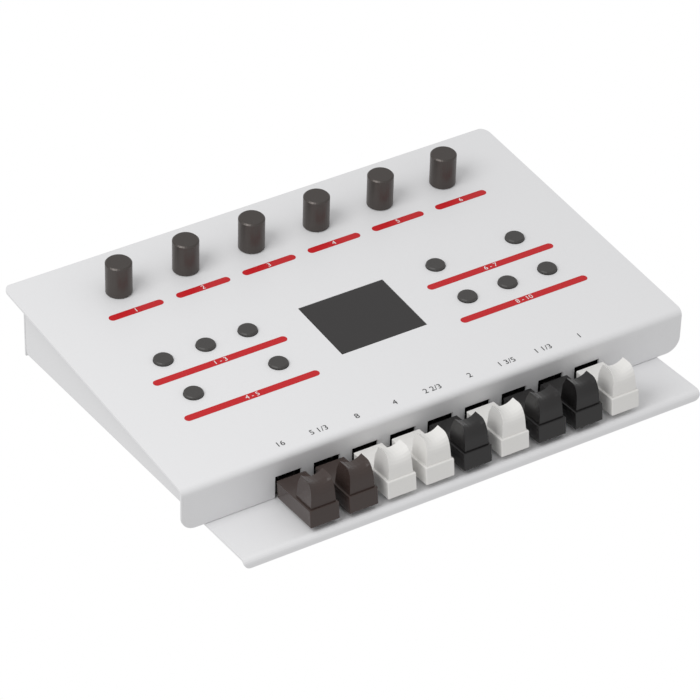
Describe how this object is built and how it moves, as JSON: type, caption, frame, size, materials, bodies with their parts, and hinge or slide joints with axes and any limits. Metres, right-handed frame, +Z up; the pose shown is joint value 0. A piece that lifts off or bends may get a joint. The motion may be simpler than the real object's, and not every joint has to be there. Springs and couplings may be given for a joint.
{
  "type": "tabletop drawbar organ sound module",
  "caption": "Light grey tabletop organ sound module with drawbars in front, round knobs, small buttons and a dark display window.",
  "frame": {"origin": "middle of the bounding box at the bottom of the feet", "axes": "+X to the player's right, +Y to the rear, +Z up"},
  "size_m": [0.29, 0.227, 0.0694],
  "materials": {
    "paint": "satin",
    "rubber": "matte",
    "smoked_window": "gloss",
    "dark_metal": "satin",
    "circuit": "satin",
    "gunmetal": "satin",
    "dark_grey_plastic": "satin",
    "brown_plastic": "gloss",
    "white_plastic": "gloss",
    "black_plastic": "gloss"
  },
  "bodies": {
    "case": {"top_cover": "paint", "base_chassis": "paint", "foot_front_left": "rubber", "foot_front_right": "rubber", "foot_rear_left": "rubber", "foot_rear_right": "rubber", "display_window": "smoked_window", "display_module": "dark_metal", "control_board": "circuit", "main_board": "circuit", "fader_board": "circuit", "drawbar_guide": "black_plastic", "encoder_1": "dark_metal", "encoder_2": "dark_metal", "encoder_3": "dark_metal", "encoder_4": "dark_metal", "encoder_5": "dark_metal", "encoder_6": "dark_metal", "dc_inlet": "black_plastic", "usb_socket": "dark_metal", "midi_in_socket": "black_plastic", "midi_out_socket": "black_plastic", "pedal_jack": "black_plastic", "phones_jack": "black_plastic", "output_jack_right": "black_plastic", "output_jack_left": "black_plastic"},
    "knob_1_body": {"knob_1": "gunmetal"},
    "knob_2_body": {"knob_2": "gunmetal"},
    "knob_3_body": {"knob_3": "gunmetal"},
    "knob_4_body": {"knob_4": "gunmetal"},
    "knob_5_body": {"knob_5": "gunmetal"},
    "knob_6_body": {"knob_6": "gunmetal"},
    "button_1_body": {"button_1": "dark_grey_plastic"},
    "button_2_body": {"button_2": "dark_grey_plastic"},
    "button_3_body": {"button_3": "dark_grey_plastic"},
    "button_4_body": {"button_4": "dark_grey_plastic"},
    "button_5_body": {"button_5": "dark_grey_plastic"},
    "button_6_body": {"button_6": "dark_grey_plastic"},
    "button_7_body": {"button_7": "dark_grey_plastic"},
    "button_8_body": {"button_8": "dark_grey_plastic"},
    "button_9_body": {"button_9": "dark_grey_plastic"},
    "button_10_body": {"button_10": "dark_grey_plastic"},
    "drawbar_1": {"drawbar_head_1": "brown_plastic", "drawbar_slide_1": "black_plastic"},
    "drawbar_2": {"drawbar_head_2": "brown_plastic", "drawbar_slide_2": "black_plastic"},
    "drawbar_3": {"drawbar_head_3": "white_plastic", "drawbar_slide_3": "black_plastic"},
    "drawbar_4": {"drawbar_head_4": "white_plastic", "drawbar_slide_4": "black_plastic"},
    "drawbar_5": {"drawbar_head_5": "black_plastic", "drawbar_slide_5": "black_plastic"},
    "drawbar_6": {"drawbar_head_6": "white_plastic", "drawbar_slide_6": "black_plastic"},
    "drawbar_7": {"drawbar_head_7": "black_plastic", "drawbar_slide_7": "black_plastic"},
    "drawbar_8": {"drawbar_head_8": "black_plastic", "drawbar_slide_8": "black_plastic"},
    "drawbar_9": {"drawbar_head_9": "white_plastic", "drawbar_slide_9": "black_plastic"}
  },
  "joints": [
    {"name": "knob_1_turn", "type": "hinge", "parent": "case", "child": "knob_1_body", "pos_m": [-0.09517, 0.07355, 0.05011], "axis": [0, -0.1184, 0.993], "continuous": true},
    {"name": "knob_2_turn", "type": "hinge", "parent": "case", "child": "knob_2_body", "pos_m": [-0.0565, 0.07355, 0.05011], "axis": [0, -0.1184, 0.993], "continuous": true},
    {"name": "knob_3_turn", "type": "hinge", "parent": "case", "child": "knob_3_body", "pos_m": [-0.01784, 0.07355, 0.05011], "axis": [0, -0.1184, 0.993], "continuous": true},
    {"name": "knob_4_turn", "type": "hinge", "parent": "case", "child": "knob_4_body", "pos_m": [0.02083, 0.07355, 0.05011], "axis": [0, -0.1184, 0.993], "continuous": true},
    {"name": "knob_5_turn", "type": "hinge", "parent": "case", "child": "knob_5_body", "pos_m": [0.05951, 0.07355, 0.05011], "axis": [0, -0.1184, 0.993], "continuous": true},
    {"name": "knob_6_turn", "type": "hinge", "parent": "case", "child": "knob_6_body", "pos_m": [0.09817, 0.07355, 0.05011], "axis": [0, -0.1184, 0.993], "continuous": true},
    {"name": "button_1_press", "type": "slide", "parent": "case", "child": "button_1_body", "axis": [0, 0.1184, -0.993], "range_m": [0, 0.0005], "stiffness_N_per_m": 400, "springref_m": -0.0005},
    {"name": "button_2_press", "type": "slide", "parent": "case", "child": "button_2_body", "axis": [0, 0.1184, -0.993], "range_m": [0, 0.0005], "stiffness_N_per_m": 400, "springref_m": -0.0005},
    {"name": "button_3_press", "type": "slide", "parent": "case", "child": "button_3_body", "axis": [0, 0.1184, -0.993], "range_m": [0, 0.0005], "stiffness_N_per_m": 400, "springref_m": -0.0005},
    {"name": "button_4_press", "type": "slide", "parent": "case", "child": "button_4_body", "axis": [0, 0.1184, -0.993], "range_m": [0, 0.0005], "stiffness_N_per_m": 400, "springref_m": -0.0005},
    {"name": "button_5_press", "type": "slide", "parent": "case", "child": "button_5_body", "axis": [0, 0.1184, -0.993], "range_m": [0, 0.0005], "stiffness_N_per_m": 400, "springref_m": -0.0005},
    {"name": "button_6_press", "type": "slide", "parent": "case", "child": "button_6_body", "axis": [0, 0.1184, -0.993], "range_m": [0, 0.0005], "stiffness_N_per_m": 400, "springref_m": -0.0005},
    {"name": "button_7_press", "type": "slide", "parent": "case", "child": "button_7_body", "axis": [0, 0.1184, -0.993], "range_m": [0, 0.0005], "stiffness_N_per_m": 400, "springref_m": -0.0005},
    {"name": "button_8_press", "type": "slide", "parent": "case", "child": "button_8_body", "axis": [0, 0.1184, -0.993], "range_m": [0, 0.0005], "stiffness_N_per_m": 400, "springref_m": -0.0005},
    {"name": "button_9_press", "type": "slide", "parent": "case", "child": "button_9_body", "axis": [0, 0.1184, -0.993], "range_m": [0, 0.0005], "stiffness_N_per_m": 400, "springref_m": -0.0005},
    {"name": "button_10_press", "type": "slide", "parent": "case", "child": "button_10_body", "axis": [0, 0.1184, -0.993], "range_m": [0, 0.0005], "stiffness_N_per_m": 400, "springref_m": -0.0005},
    {"name": "drawbar_1_pull", "type": "slide", "parent": "case", "child": "drawbar_1", "axis": [0, -1, 0], "range_m": [0, 0.026]},
    {"name": "drawbar_2_pull", "type": "slide", "parent": "case", "child": "drawbar_2", "axis": [0, -1, 0], "range_m": [0, 0.026]},
    {"name": "drawbar_3_pull", "type": "slide", "parent": "case", "child": "drawbar_3", "axis": [0, -1, 0], "range_m": [0, 0.026]},
    {"name": "drawbar_4_pull", "type": "slide", "parent": "case", "child": "drawbar_4", "axis": [0, -1, 0], "range_m": [0, 0.026]},
    {"name": "drawbar_5_pull", "type": "slide", "parent": "case", "child": "drawbar_5", "axis": [0, -1, 0], "range_m": [0, 0.026]},
    {"name": "drawbar_6_pull", "type": "slide", "parent": "case", "child": "drawbar_6", "axis": [0, -1, 0], "range_m": [0, 0.026]},
    {"name": "drawbar_7_pull", "type": "slide", "parent": "case", "child": "drawbar_7", "axis": [0, -1, 0], "range_m": [0, 0.026]},
    {"name": "drawbar_8_pull", "type": "slide", "parent": "case", "child": "drawbar_8", "axis": [0, -1, 0], "range_m": [0, 0.026]},
    {"name": "drawbar_9_pull", "type": "slide", "parent": "case", "child": "drawbar_9", "axis": [0, -1, 0], "range_m": [0, 0.026]}
  ]
}
